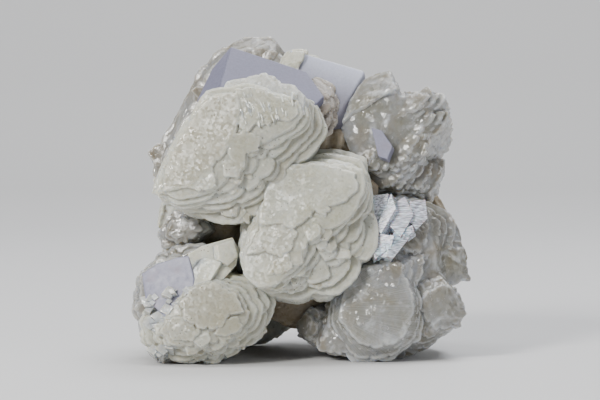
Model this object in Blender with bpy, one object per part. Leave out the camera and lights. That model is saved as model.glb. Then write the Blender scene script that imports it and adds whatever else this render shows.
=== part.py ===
"""A cluster of calcite: layered crystals grown together, made as one closed solid.

Run it with blender --background --python part.py. Metres, +Z up, the front of the
cluster faces -Y, and the origin is on the resting plane below the middle of the cluster.
Each crystal is a stack of scalloped growth layers like the scales of an artichoke. The
stack starts at the small front layer and goes back into the cluster.
"""

import math

import bmesh
import bpy
from mathutils import Matrix, Vector

MM = 0.001

NODE = "calcite_cluster"
CREAM = (0.72, 0.70, 0.62, 1.0)
CALCITE_ROUGHNESS = 0.42
CALCITE_IOR = 1.55

# Growth layers: the steps on the face of a crystal, then the thicker layers of its sides
STEP_PITCH = 1.5
STEP_GAIN = 0.2
SIDE_PITCH = 3.2
SIDE_SCALES = (0.98, 0.88)
LAYER_THICKNESS = 4.2
LARGE_SEGMENTS = 19
SMALL_SEGMENTS = 11
LARGE_CRYSTAL = 30
LIP = 0.5
DOME_SHARE = 0.045
DOME_RING = 0.7
SCALLOP_DEPTH = 1.8
SCALLOP_WIDTH = 11.0
WOBBLE = math.radians(1.2)

# Flat crystal faces, as corners in millimetres
UPPER_LEFT_CORE = (
    (-17, -8, 72.5), (-20.5, -22, 61.5), (-14, -24, 63), (1.5, -6, 66.5), (6.5, -8, 61),
    (5, -21, 58), (-31, -9, 45), (-30, -21, 40), (-12, -19, 36), (-14, 12, 66), (4, 10, 56),
    (-26, 8, 42), (-8, 6, 30),
)
UPPER_RIGHT_CORE = (
    (-2.5, -4, 71.5), (15, -5, 66.5), (8, -15, 55), (0, -11.7, 61), (14, -7, 51),
    (0, 10, 62), (14, 8, 56), (2, 0, 44), (16, 4, 42),
)
CENTRE_CORE = (
    (-6, -16, 42), (13, -16, 44), (18, -12, 40), (17, -12, 24), (8, -18, 16),
    (-9, -17, 20), (-12, -14, 33), (-10, 10, 44), (16, 10, 44), (14, 10, 16), (-10, 10, 16),
)
LOWER_LEFT_CORE = (
    (-36, -22, 20.5), (-26, -24, 24.8), (-25, -28, 14), (-34, -26, 13.5), (-35, -10, 20.5),
    (-26, -9, 25), (-15, -15, 25.5), (-30, -24, 8), (-20, -22, 16), (-33, -12, 6),
    (-14, -16, 5), (-31, 8, 18), (-12, 8, 22), (-26, 8, 5), (-12, 8, 4),
)
LOWER_RIGHT_CORE = (
    (8, -13, 8), (22, -18, 4), (32, -13, 6), (35, -9, 18), (34, -9, 30), (26, -13, 37),
    (16, -13, 38), (10, -13, 20), (22, -18, 24), (31, -15, 26), (8, 12, 8), (26, 12, 6),
    (28, 10, 30), (12, 10, 34),
)
BACK_CORE = (
    (-22, 4, 12), (-24, 4, 44), (-8, 6, 60), (12, 6, 58), (24, 4, 40), (22, 4, 10),
    (-16, 20, 16), (-14, 20, 44), (10, 18, 50), (16, 20, 18), (0, 14, 5),
)
BRIGHT_FACES = (
    (17.5, -17, 38.5), (22, -16.5, 40), (27, -15, 36), (26.5, -19, 28.5), (21.5, -23, 24.5),
    (17, -23, 25.5), (17, -6, 36), (25, -6, 34), (24, -6, 26), (17, -6, 25),
)
LOWER_LEFT_BLOCK = (
    (-25.5, -22, 25.6), (-15.5, -19, 28.8), (-14, -19, 26), (-14.6, -23, 22.5), (-20, -26.5, 20),
    (-24.5, -26, 18.5), (-17, -8, 29), (-25, -8, 25.6), (-15, -10, 18), (-24, -10, 14),
)
CORES = (
    UPPER_LEFT_CORE, UPPER_RIGHT_CORE, CENTRE_CORE, LOWER_LEFT_CORE, LOWER_RIGHT_CORE,
    BACK_CORE, BRIGHT_FACES, LOWER_LEFT_BLOCK,
)

# Crystals drawn from the front: outlines are (x, z) in millimetres in front elevation,
# facing is (turn to the right, tilt upwards) in degrees, steps are on the face and sides
# is the number of thicker layers behind them
DRAWN_CRYSTALS = (
    {
        "name": "upper_left", "middle": (-15, -27, 51), "facing": (-8, 14), "steps": 6,
        "sides": 2,
        "first": ((-21, 61.5), (-15, 63.5), (-12, 64), (-7, 63), (1, 60), (0.5, 55.5), (-5, 53),
                  (-12, 49), (-17, 42), (-22.5, 38.5), (-30, 38), (-33.5, 41), (-28, 50)),
        "last": ((-21.5, 61), (-15, 62.5), (-5.5, 62.5), (4, 60), (6, 53), (0, 44.5),
                 (-5.5, 36), (-13, 32), (-26, 34), (-34.5, 38.5), (-30, 50)),
    },
    {
        "name": "upper_left_white", "middle": (-8, -24, 62), "facing": (-4, 28), "steps": 2,
        "sides": 0,
        "first": ((-18, 62), (-16.5, 64.8), (-11, 65.6), (-8, 66.6), (-5.5, 65.8), (-4.5, 64),
                  (-1, 63.5), (1, 61), (1, 57), (-9, 58)),
        "last": ((-18.5, 61), (-17, 64.5), (-11, 65), (-8, 66), (-5, 65), (-3.6, 63.4),
                 (-0.4, 62.8), (2.2, 59.8), (1, 56), (-9, 57)),
    },
    {
        "name": "upper_left_fan", "middle": (-15, -4, 56), "facing": (-6, 8), "steps": 2,
        "sides": 1,
        "first": ((-22.5, 66), (-17, 71), (-8, 73), (-1, 67), (2, 60), (-6, 44), (-18, 40),
                  (-33, 41), (-30.5, 51), (-26, 58)),
        "last": ((-25, 65.5), (-18, 72.5), (-13, 75), (-7, 75), (-4, 72), (1.5, 65.5),
                 (3, 56), (-8, 40), (-22, 36), (-35, 42), (-33, 51), (-27.5, 58)),
    },
    {
        "name": "upper_right_shells", "middle": (3.5, -15.4, 60.3), "facing": (6, 37), "steps": 3,
        "sides": 0,
        "first": ((0, 63), (3, 64.2), (6.4, 62), (7, 58.5), (5, 55), (1, 54.5), (-1.5, 58)),
        "last": ((-1, 64.5), (3.5, 65.8), (8.4, 63.5), (9.3, 58), (7.4, 52.5), (2, 51), (-3, 57)),
    },
    {
        "name": "upper_right_blade", "middle": (18, -11, 63.5), "facing": (-30, 36), "steps": 3,
        "sides": 0,
        "first": ((14.8, 65), (20.3, 66.6), (21.6, 64.6), (22.3, 62.8), (17.5, 60.4), (12, 57),
                  (8.8, 54.4)),
        "last": ((14.4, 65), (21, 67), (22.4, 64.4), (23, 62.6), (17.5, 58.5), (11, 52.5),
                 (8, 53.4)),
    },
    {
        "name": "centre", "middle": (1, -25.5, 35.5), "facing": (-6, 20), "steps": 6,
        "sides": 2,
        "first": ((-4.5, 45), (0, 47.5), (7, 48), (13.5, 46), (14, 41), (11, 36.5),
                  (5.5, 33), (-0.5, 31), (-6.5, 29), (-12, 29.5), (-10.5, 37)),
        "last": ((-5.5, 45.5), (-0.5, 48), (7.5, 49), (15.5, 47), (16.8, 39.5), (17, 27),
                 (13.5, 20), (8.5, 16), (0, 14.8), (-7, 15.8), (-12.5, 19.5), (-15, 25),
                 (-13, 34.5)),
    },
    {
        "name": "lower_left", "middle": (-20, -28, 12.5), "facing": (-2, 10), "steps": 5,
        "sides": 2,
        "first": ((-28, 13.5), (-24.5, 18.5), (-19, 18.8), (-13.6, 17), (-15.4, 11.7), (-18, 8),
                  (-24, 8), (-29, 9.5)),
        "last": ((-33, 14.5), (-25, 19), (-17, 21), (-8.5, 19.5), (-5.3, 14.5), (-8.5, 6.5),
                 (-19, 0.5), (-30, 0.5), (-36.5, 5), (-37, 10)),
    },
    {
        "name": "lower_left_foot", "middle": (-29, -23.5, 7), "facing": (-22, 2), "steps": 3,
        "sides": 1,
        "first": ((-33, 10), (-28, 11), (-25, 8), (-25, 4), (-30, 3), (-34, 5.5)),
        "last": ((-36.5, 11), (-30, 15), (-22, 12), (-20, 3), (-27, 0.3), (-34, 2), (-37.5, 6)),
    },
    {
        "name": "lower_left_rim", "middle": (-24, -17, 14), "facing": (-8, 6), "steps": 3,
        "sides": 2,
        "first": ((-37, 20), (-30, 24), (-20, 24), (-12, 16), (-14, 4), (-30, 2), (-36, 6),
                  (-38, 13)),
        "last": ((-38.5, 19), (-33, 24.5), (-26, 27), (-16, 26), (-10, 16), (-13, 3), (-30, 0),
                 (-37, 5), (-39, 12)),
    },
    {
        "name": "left_middle", "middle": (-26, -10, 30), "facing": (-15, 10), "steps": 2,
        "sides": 1,
        "first": ((-30, 33), (-24, 32.5), (-22, 30), (-24, 28), (-29, 26), (-31.5, 28)),
        "last": ((-29.5, 34.5), (-22.5, 33), (-20.5, 30), (-23, 28), (-30, 25), (-33, 25),
                 (-34, 28.5), (-32.5, 31)),
    },
    {
        "name": "lower_fan", "middle": (18.5, -22, 12.5), "facing": (-4, 8), "steps": 4,
        "sides": 1,
        "first": ((12.5, 18.5), (18.5, 20), (23.5, 17.5), (25.5, 13), (24.5, 7.5), (19, 5),
                  (13, 6), (10, 11.5)),
        "last": ((9, 22.5), (17.5, 25.5), (25.5, 21.5), (28.5, 13.5), (27.5, 5.5), (21, 0.5),
                 (12, -0.5), (6, 8)),
    },
    {
        "name": "under_centre", "middle": (-2, -8, 12), "facing": (-10, -14), "steps": 2,
        "sides": 0,
        "first": ((-8, 14), (-1, 16), (4, 13), (3, 9), (-3, 7), (-8, 9)),
        "last": ((-9, 15), (0, 18), (5, 14), (4, 8), (-3, 6), (-9, 9)),
    },
)

# Rounded rhombs: half width and half height of the front layer in millimetres, how much
# larger the last step is, and their turn in their own plane in degrees
PLAIN_CRYSTALS = (
    {"name": "upper_blade_0", "middle": (22.8, -11.5, 58.6), "facing": (-20, 28), "steps": 3,
     "sides": 1, "half": (9.5, 3.4), "spread": 1.8, "turn": 24},
    {"name": "upper_blade_1", "middle": (24.8, -11, 54), "facing": (-16, 22), "steps": 3,
     "sides": 2, "half": (8.5, 3.6), "spread": 1.8, "turn": 28},
    {"name": "upper_blade_2", "middle": (21.8, -12.4, 49.2), "facing": (-20, 20), "steps": 3,
     "sides": 2, "half": (7.4, 4.4), "spread": 1.8, "turn": 32},
    {"name": "upper_blade_3", "middle": (15.2, -12.4, 50.2), "facing": (-30, 22), "steps": 3,
     "sides": 2, "half": (5, 5.6), "spread": 1.8, "turn": 30},
    {"name": "upper_blade_4", "middle": (21, -11.4, 43.6), "facing": (-16, 12), "steps": 3,
     "sides": 1, "half": (6.4, 3.4), "spread": 1.8, "turn": 24},
    {"name": "upper_blade_5", "middle": (26.8, -7.6, 43.6), "facing": (-8, 24), "steps": 3,
     "sides": 1, "half": (5.6, 4), "spread": 1.8, "turn": 34},
    {"name": "upper_blade_6", "middle": (26.5, 0, 55), "facing": (-20, 34), "steps": 3,
     "sides": 2, "half": (6, 4.5), "spread": 1.8, "turn": 24},
    {"name": "right_lobe_top", "middle": (28.3, -14.5, 31), "facing": (16, 24), "steps": 4,
     "sides": 1, "half": (5.5, 5.5), "spread": 5, "turn": 20},
    {"name": "right_lobe", "middle": (35, -10.5, 24), "facing": (32, 4), "steps": 4,
     "sides": 1, "half": (5, 5.5), "spread": 4, "turn": 50},
    {"name": "right_middle", "middle": (21.5, -20.5, 22), "facing": (-4, 18), "steps": 3,
     "sides": 0, "half": (4.5, 4), "spread": 3, "turn": 30},
    {"name": "right_foot", "middle": (30, -18, 12), "facing": (20, 2), "steps": 4,
     "sides": 2, "half": (6, 6.5), "spread": 4.5, "turn": 75},
    {"name": "middle_foot", "middle": (9.5, -18, 8), "facing": (-20, 6), "steps": 3,
     "sides": 1, "half": (5.5, 4.5), "spread": 3.5, "turn": 35},
    {"name": "left_foot", "middle": (2.5, -13, 7), "facing": (-40, -6), "steps": 2,
     "sides": 1, "half": (4, 3.5), "spread": 2, "turn": 10},
    {"name": "bottom_foot", "middle": (22, -14.5, 4.5), "facing": (6, -22), "steps": 2,
     "sides": 1, "half": (9, 4), "spread": 2, "turn": 0},
    {"name": "back_large", "middle": (8, 26, 43), "facing": (172, 14), "steps": 4,
     "sides": 1, "half": (12, 12), "spread": 8, "turn": 24},
    {"name": "back_upper", "middle": (-17, 23, 52), "facing": (205, 20), "steps": 3,
     "sides": 1, "half": (7, 10), "spread": 6, "turn": -20},
    {"name": "back_lower", "middle": (-14, 25, 15.5), "facing": (196, -6), "steps": 4,
     "sides": 1, "half": (13, 11), "spread": 7, "turn": 12},
    {"name": "back_foot", "middle": (18, 22, 10.5), "facing": (150, -8), "steps": 3,
     "sides": 1, "half": (8, 8), "spread": 6, "turn": 40},
    {"name": "left_side", "middle": (-33, 5, 20), "facing": (-100, 4), "steps": 3,
     "sides": 1, "half": (9, 7), "spread": 5, "turn": 25},
    {"name": "left_shoulder", "middle": (-28.5, 8, 42), "facing": (-116, 22), "steps": 3,
     "sides": 1, "half": (7, 10), "spread": 5, "turn": 35},
    {"name": "right_shoulder", "middle": (28, 8, 48), "facing": (74, 16), "steps": 3,
     "sides": 1, "half": (6, 9), "spread": 5, "turn": -20},
    {"name": "right_side", "middle": (35, 5, 15), "facing": (92, 0), "steps": 3,
     "sides": 1, "half": (8, 7), "spread": 6, "turn": 30},
    {"name": "right_hollow", "middle": (32, 12, 33), "facing": (110, 10), "steps": 2,
     "sides": 1, "half": (5, 4), "spread": 4, "turn": 10},
    {"name": "crown", "middle": (-1, 10, 68), "facing": (175, 56), "steps": 3,
     "sides": 1, "half": (8, 5), "spread": 4, "turn": 15},
)
RHOMB_POWER = 1.35
RHOMB_POINTS = 12

# The resting plane cuts the lowest layers flat
FLOOR_HALF_SIDE = 60
FLOOR_DEPTH = 10


def clear_scene():
    for old in list(bpy.data.objects):
        bpy.data.objects.remove(old, do_unlink=True)


def new_collection(name):
    made = bpy.data.collections.new(name)
    bpy.context.scene.collection.children.link(made)
    return made


def object_from_bmesh(name, bm, collection):
    mesh = bpy.data.meshes.new(name)
    bm.to_mesh(mesh)
    bm.free()
    made = bpy.data.objects.new(name, mesh)
    collection.objects.link(made)
    return made


def as_helper(obj):
    obj.hide_render = True
    obj.display_type = "WIRE"


def calcite_material():
    material = bpy.data.materials.new("calcite")
    material.use_nodes = True
    shader = material.node_tree.nodes["Principled BSDF"]
    shader.inputs["Base Color"].default_value = CREAM
    shader.inputs["Roughness"].default_value = CALCITE_ROUGHNESS
    shader.inputs["Metallic"].default_value = 0.0
    shader.inputs["IOR"].default_value = CALCITE_IOR
    return material


def facing_frame(middle, facing):
    """The frame of a layer: X to its right, Y up along it and Z out of its face."""
    turn, tilt = (math.radians(angle) for angle in facing)
    out = Vector((math.sin(turn) * math.cos(tilt), -math.cos(turn) * math.cos(tilt), math.sin(tilt)))
    right = Vector((math.cos(turn), math.sin(turn), 0))
    frame = Matrix((right, out.cross(right), out)).transposed().to_4x4()
    frame.translation = Vector(middle)
    return frame


def reach_function(corners):
    """The middle of a closed outline, and the distance from there to it, by angle."""
    middle = sum((Vector(corner) for corner in corners), Vector((0, 0))) / len(corners)
    spokes = [Vector(corner) - middle for corner in corners]
    polar = sorted((math.atan2(spoke.y, spoke.x) % math.tau, spoke.length) for spoke in spokes)
    angles = [polar[-1][0] - math.tau] + [a for a, _ in polar] + [polar[0][0] + math.tau]
    reaches = [polar[-1][1]] + [r for _, r in polar] + [polar[0][1]]

    def reach(angle):
        angle %= math.tau
        after = next(i for i, a in enumerate(angles) if a > angle)
        share = (angle - angles[after - 1]) / (angles[after] - angles[after - 1])
        ease = 0.5 * (share + share * share * (3 - 2 * share))
        return reaches[after - 1] * (1 - ease) + reaches[after] * ease

    return middle, reach


def outline_from_front(outline, frame):
    """Front elevation points, carried along Y to the layer's plane, in its own frame."""
    middle = frame.translation
    out = frame.to_3x3().col[2]
    into = frame.inverted()
    found = []
    for x, z in outline:
        y = middle.y - (out.x * (x - middle.x) + out.z * (z - middle.z)) / out.y
        found.append((into @ Vector((x, y, z))).xy)
    return found


def rounded_rhomb(half_width, half_height, turn):
    """Points of a superellipse between a rhomb and an ellipse, turned in its plane."""
    lean = Matrix.Rotation(math.radians(turn), 2)
    found = []
    for i in range(RHOMB_POINTS):
        angle = math.tau * i / RHOMB_POINTS
        c, s = math.cos(angle), math.sin(angle)
        scale = (abs(c) ** RHOMB_POWER + abs(s) ** RHOMB_POWER) ** (-1 / RHOMB_POWER)
        found.append(lean @ Vector((half_width * scale * c, half_height * scale * s)))
    return found


def scallop(angle, size, phase):
    """How far the edge draws in between two lobes, from 0 at a lobe to 1 at a notch."""
    lobes = max(4, round(math.tau * size / SCALLOP_WIDTH))
    warped = angle + 0.25 * math.sin(2 * angle + phase) + 0.12 * math.sin(3 * angle - 2 * phase)
    return 1 - abs(math.sin(lobes * warped / 2 + phase))


def growth_layer(name, frame, reach, dome, segments, is_front, collection):
    """One plate with a low domed face, its rim drawn in towards the front."""
    bm = bmesh.new()
    bmesh.ops.create_cone(bm, cap_ends=True, segments=segments, radius1=1, radius2=1,
                          depth=LAYER_THICKNESS)
    for vert in bm.verts:
        angle = math.atan2(vert.co.y, vert.co.x)
        far = reach(angle) - (LIP if vert.co.z > 0 else 0)
        vert.co.x = far * math.cos(angle)
        vert.co.y = far * math.sin(angle)
        vert.co.z -= LAYER_THICKNESS / 2
    face = max(bm.faces, key=lambda each: each.calc_center_median().z)
    if is_front:
        bmesh.ops.inset_region(bm, faces=[face], thickness=0, depth=0)
        for vert in face.verts:
            vert.co.x *= DOME_RING
            vert.co.y *= DOME_RING
            vert.co.z += dome * (1 - DOME_RING**2)
    else:
        for vert in bmesh.ops.poke(bm, faces=[face])["verts"]:
            vert.co.z += dome
    bmesh.ops.transform(bm, matrix=Matrix.Scale(MM, 4) @ frame, verts=bm.verts)
    made = object_from_bmesh(name, bm, collection)
    as_helper(made)
    return made


def crystal(number, spec, collection):
    """A stack of growth layers, each one behind and a little larger than the last."""
    steps = spec["steps"]
    facing = facing_frame(spec["middle"], spec["facing"])
    last = facing @ Matrix.Translation((0, 0, -STEP_PITCH * (steps - 1)))
    if "half" in spec:
        wide, high = spec["half"]
        more = spec["spread"]
        small_middle, small = reach_function(rounded_rhomb(wide, high, spec["turn"]))
        large_middle, large = reach_function(rounded_rhomb(wide + more, high + more, spec["turn"]))
    else:
        small_middle, small = reach_function(outline_from_front(spec["first"], facing))
        large_middle, large = reach_function(outline_from_front(spec["last"], last))
    across = large(0) + large(math.pi)
    segments = LARGE_SEGMENTS if across > LARGE_CRYSTAL else SMALL_SEGMENTS
    depth = 0
    for step in range(steps + spec["sides"]):
        on_side = step - steps
        share = min(1, step / (steps - 1))
        scale = SIDE_SCALES[on_side] if on_side >= 0 else 1
        gain = STEP_GAIN * min(step, steps - 1)
        phase = 1.7 * step + 0.9 * number
        middle = small_middle.lerp(large_middle, share)
        frame = (
            facing
            @ Matrix.Translation((middle.x, middle.y, -depth))
            @ Matrix.Rotation(WOBBLE * math.sin(2.1 * phase), 4, "X")
            @ Matrix.Rotation(WOBBLE * math.sin(1.3 * phase + 1), 4, "Y")
        )

        def reach(angle):
            inner, outer = small(angle), large(angle)
            band = abs(outer - inner) / (steps - 1)
            depth_here = min(SCALLOP_DEPTH, 0.3 + 0.8 * band) if on_side < 0 else SCALLOP_DEPTH / 2
            whole = (inner * (1 - share) + outer * share + gain) * scale
            return whole - depth_here * scallop(angle, across / 2, phase)

        growth_layer(f"{spec['name']}_{step}", frame, reach, DOME_SHARE * across, segments,
                     step == 0, collection)
        depth += STEP_PITCH if on_side < -1 else SIDE_PITCH


def faceted_core(name, corners, collection):
    """A block with flat crystal faces: the convex hull of its corners."""
    bm = bmesh.new()
    for corner in corners:
        bm.verts.new(Vector(corner) * MM)
    hull = bmesh.ops.convex_hull(bm, input=bm.verts)
    bmesh.ops.delete(bm, geom=hull["geom_interior"], context="VERTS")
    bmesh.ops.recalc_face_normals(bm, faces=bm.faces)
    made = object_from_bmesh(name, bm, collection)
    as_helper(made)
    return made


def floor_block(collection):
    """Everything below the resting plane, as a cutter."""
    bm = bmesh.new()
    bmesh.ops.create_cube(bm, size=2)
    scale = Matrix.Diagonal((FLOOR_HALF_SIDE * MM, FLOOR_HALF_SIDE * MM, FLOOR_DEPTH * MM, 1))
    down = Matrix.Translation((0, 0, -FLOOR_DEPTH * MM))
    bmesh.ops.transform(bm, matrix=down @ scale, verts=bm.verts)
    made = object_from_bmesh("floor_block", bm, collection)
    as_helper(made)
    return made


def outer_shell(bm):
    """Deletes what a union leaves inside, such as sealed voids between layers."""
    islands, seen = [], set()
    for start in bm.verts:
        if start in seen:
            continue
        island, queue = [], [start]
        seen.add(start)
        while queue:
            vert = queue.pop()
            island.append(vert)
            for edge in vert.link_edges:
                other = edge.other_vert(vert)
                if other not in seen:
                    seen.add(other)
                    queue.append(other)
        islands.append(island)
    largest = max(islands, key=len)
    extra = [vert for island in islands if island is not largest for vert in island]
    bmesh.ops.delete(bm, geom=extra, context="VERTS")


def centre_over_origin(bm):
    """Moves the solid sideways, so that its bounds are centred on the origin."""
    for axis in (0, 1):
        places = [vert.co[axis] for vert in bm.verts]
        middle = (min(places) + max(places)) / 2
        for vert in bm.verts:
            vert.co[axis] -= middle


def build():
    clear_scene()
    parts = new_collection("calcite")
    shapes = new_collection("growth_layers")
    cutters = new_collection("cutters")
    first_core, *other_cores = CORES
    for number, corners in enumerate(other_cores):
        faceted_core(f"core_{number}", corners, shapes)
    for number, spec in enumerate(DRAWN_CRYSTALS + PLAIN_CRYSTALS):
        crystal(number, spec, shapes)
    body = faceted_core(NODE, first_core, parts)
    join = body.modifiers.new("join", "BOOLEAN")
    join.solver = "EXACT"
    join.operation = "UNION"
    join.operand_type = "COLLECTION"
    join.collection = shapes
    cut = body.modifiers.new("rest", "BOOLEAN")
    cut.solver = "EXACT"
    cut.operation = "DIFFERENCE"
    cut.object = floor_block(cutters)
    evaluated = body.evaluated_get(bpy.context.evaluated_depsgraph_get())
    bm = bmesh.new()
    bm.from_mesh(evaluated.to_mesh())
    outer_shell(bm)
    centre_over_origin(bm)
    mesh = bpy.data.meshes.new(NODE)
    bm.to_mesh(mesh)
    bm.free()
    body.modifiers.clear()
    body.data = mesh
    body.data.materials.append(calcite_material())
    body.hide_render = False
    body.display_type = "TEXTURED"


build()
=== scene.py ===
"""Calcite cluster: cream crystals in scalloped layers, lavender faces and grey clear edges.

Each crystal is a stack of thin plates with lobed rims and small scales on its ledges. The
plates of one crystal are grown together into one closed skin, and its colour follows the
plates: thin rims paled partly for their milky colour and partly as painted light, warmer
ledges, and painted shade in yellowish brown in the hollows and on the crystals between them.
"""

import math

import bmesh
import bpy
import numpy as np
from mathutils import Matrix, Vector
from mathutils.bvhtree import BVHTree


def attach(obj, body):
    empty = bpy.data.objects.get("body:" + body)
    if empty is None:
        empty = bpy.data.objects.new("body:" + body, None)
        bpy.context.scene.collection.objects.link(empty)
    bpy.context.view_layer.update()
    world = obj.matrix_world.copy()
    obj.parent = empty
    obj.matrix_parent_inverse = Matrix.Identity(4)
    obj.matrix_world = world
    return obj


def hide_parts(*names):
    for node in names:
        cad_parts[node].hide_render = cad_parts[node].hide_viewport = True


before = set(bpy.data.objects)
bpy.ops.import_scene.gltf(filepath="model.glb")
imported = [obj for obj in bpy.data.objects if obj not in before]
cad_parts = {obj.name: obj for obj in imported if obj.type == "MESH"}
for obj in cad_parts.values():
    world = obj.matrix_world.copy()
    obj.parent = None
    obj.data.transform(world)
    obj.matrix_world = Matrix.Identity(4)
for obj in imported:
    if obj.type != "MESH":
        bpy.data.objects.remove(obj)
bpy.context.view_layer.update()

MM = 0.001
NODE = "calcite_cluster"
BODY = "root"

# The crystals are placed in millimetres, and this brings them over the origin
CENTRING = Vector((0.141, 0.127, 0.0))

# Growth layers: the steps of a face, and the thicker ones of its sides. Lengths are in
# millimetres, the tilt is in radians
STEP_PITCH = 1.5
STEP_UNEVENNESS = 0.3
SIDE_PITCH = 3.2
SIDE_SCALES = (0.98, 0.88)
SIDE_NARROWING = 0.04
RIM_THICKNESS = 0.7
SIDE_RIM_THICKNESS = 1.3
BODY_THICKNESS = 3.4
BODY_SETBACK = 0.3
OVERHANG = 0.65
SIDE_OVERHANG = 0.3
LAYER_LIP = 0.25
LAYER_TILT = 0.02
# How high a face rises in its middle, as a share of its width
DOME_SHARE = 0.04
# How far the first layer of a rhomb stands off the middle, as a share of its spread
OFF_CENTRE = 0.75

# The lobes and teeth of a rim: how wide they are and how deep they cut
LOBES = (5.0, 0.8)
TEETH = (1.7, 0.16)
TERRACE_LOBES = (3.4, 0.6)
LOBE_UNEVENNESS = (0.5, 1.6)
# How much of a lobe's depth depends on where the crystal was growing
GROWING_SHARE = 0.45
RIM_ANGLES = np.linspace(0, math.tau, 721)

# Raised terraces and flat scales
TERRACE_THICKNESS = 2.0
TERRACE_LIP = 0.2
TERRACE_DOME_SHARE = 0.024
SCALE_THICKNESS = 1.0
SCALE_OVERLAP = 0.6
SCALE_LIP = 0.12
SCALE_DOME_SHARE = 0.03

# The smooth filling behind some rims: how deep it lies, its corners and how far inside the rims
FILL_DEPTH = 0.5
FILL_CORNERS = 24
FILL_INSETS = (0.3, 0.5)

# The splinters on the upper left crystal: how many, where (across, up), their sizes and lean
SPLINTERS = 34
SPLINTER_SPOTS = ((-13.2, -1.6), (54.4, 61))
SPLINTER_LENGTHS = (0.5, 1.5)
SPLINTER_WIDTHS = (0.14, 0.3)
SPLINTER_STANDS = (1.05, 1.25)
SPLINTER_DEPTH = 2.8
SPLINTER_LEAN = -70

# Outlines: how straight the sides are between the corners, and the rhombs' roundness
STRAIGHTNESS = 0.7
RHOMB_POWER = 1.35
RHOMB_POINTS = 12

# Meshes: the plates' rings and segments, and the skin over them
RINGS = (0.94, 0.8, 0.5)
PLATE_SEGMENTS = 144
SCALE_SEGMENTS = 24
SKIN_SIZE = 0.21
SHARP_ANGLE = 38
CRUMB_POINTS = 200
# The skin's roughness in three sizes: (depth, size, seed)
ROUGHNESS = ((0.03, 1.1, 3), (0.015, 0.6, 5), (0.07, 2.6, 8))

rng = np.random.default_rng(7)


# The crystals, each by its middle, the turn and tilt of its face, how many steps its face and its
# sides have, and the outlines of its first and last step, as (x, z) in front elevation. Scales lie
# in a sector of angles, from an inner share of the way out, and terraces are (height, outline).
# Lobes are deepest at the angle where the crystal was growing
UPPER_LEFT = dict(
    middle=(-15, -27, 51), facing=(-8, 14), steps=6, sides=2, lobes=(9, 1.5), growing=-62,
    first=((-21.6, 62.4), (-16.5, 63.3), (-11.7, 64.1), (-5.5, 62), (0.5, 60.1), (0.8, 57), (-1.5, 54),
           (-5.5, 52), (-9, 49.4), (-12.4, 45), (-16.6, 41), (-21.8, 38.5), (-28.2, 37.2), (-33.4, 39),
           (-30.5, 46), (-26.3, 54)),
    last=((-21.5, 61), (-15, 62.5), (-5.5, 62.5), (4, 60), (6, 53), (0, 44.5), (-5.5, 36), (-13, 32),
          (-26, 34), (-34.5, 38.5), (-30, 50)),
    scales=40, sector=(-170, -60), scale_size=(1.2, 2.8), inner=0.7,
    terraces=(
        (0.5, ((-20.5, 61), (-14, 61.6), (-13, 56), (-15, 50), (-20, 44), (-25, 40.5), (-31.5, 39.5),
               (-30.5, 45), (-26, 53))),
        (0.6, ((-14.5, 62.4), (-10.5, 63.2), (-5, 61.4), (-0.6, 59.4), (-0.4, 57), (-2, 55), (-5, 55.6),
               (-7, 54), (-10, 54.4), (-11.4, 52.6), (-14, 53.6), (-14.6, 57))),
        (0.3, ((-17, 51), (-12.5, 53), (-8.4, 52), (-9, 49), (-12, 48), (-12.6, 45.6), (-15.4, 46.2))),
        (0.4, ((-27, 44), (-22.6, 46.4), (-19, 44), (-18.4, 40.6), (-22, 39.4), (-26, 40.6))),
    ),
)
UPPER_LEFT_WHITE = dict(
    middle=(-8, -24, 62), facing=(-4, 28), steps=2, sides=0, lobes=(6, 0.5), body=1.8,
    first=((-18, 62), (-16.5, 64.8), (-11, 65.6), (-8, 66.6), (-5.5, 65.8), (-4.5, 64), (-1, 63.5),
           (1, 61), (1, 57), (-9, 58)),
    last=((-18.5, 61), (-17, 64.5), (-11, 65), (-8, 66), (-5, 65), (-3.6, 63.4), (-0.4, 62.8),
          (2.2, 59.8), (1, 56), (-9, 57)),
)
UPPER_LEFT_FAN = dict(
    middle=(-15, -4, 56), facing=(-6, 8), steps=2, sides=1, lobes=(5, 1.0),
    first=((-22.5, 66), (-17, 71), (-8, 73), (-1, 67), (2, 60), (-6, 44), (-18, 40), (-33, 41),
           (-30.5, 51), (-26, 58)),
    last=((-25, 65.5), (-18, 72.5), (-13, 75), (-7, 75), (-4, 72), (1.5, 65.5), (3, 56), (-8, 40),
          (-22, 36), (-35, 42), (-33, 51), (-27.5, 58)),
    scales=3, sector=(20, 230), scale_size=(2.2, 4.2), inner=0.8, filled=True,
)
UPPER_RIGHT_BLADE = dict(
    middle=(18, -11, 63.5), facing=(-30, 36), steps=3, sides=0, lobes=(5, 0.4),
    first=((14.8, 65), (20.3, 66.6), (21.6, 64.6), (22.3, 62.8), (17.5, 60.4), (12, 57), (8.8, 54.4)),
    last=((14.4, 65), (21, 67), (22.4, 64.4), (23, 62.6), (17.5, 58.5), (11, 52.5), (8, 53.4)),
    scales=8, sector=(-100, 60), scale_size=(1.2, 2.2), lie=32,
)
UPPER_RIGHT_CAP = dict(
    middle=(-2, -7.6, 68), facing=(-4, 38), steps=2, sides=0, lobes=(3, 0.4), body=1.0,
    first=((-5, 65.4), (-4.2, 69), (-1.8, 71.4), (1.2, 71.2), (0.4, 68.6), (-1.6, 65.5), (-3.5, 63.5)),
    last=((-5.6, 64.8), (-4.8, 69.4), (-2, 72), (2, 71.8), (1.2, 68.2), (-0.8, 64.5), (-3.5, 62.6)),
)
UPPER_RIGHT_SHELLS = dict(
    middle=(3.5, -15.4, 60.3), facing=(6, 37), steps=3, sides=0, lobes=(5, 0.7), body=1.4,
    first=((0, 63), (3, 64.2), (6.4, 62), (7, 58.5), (5, 55), (1, 54.5), (-1.5, 58)),
    last=((-1, 64.5), (3.5, 65.8), (8.4, 63.5), (9.3, 58), (7.4, 52.5), (2, 51), (-3, 57)),
)
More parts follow.
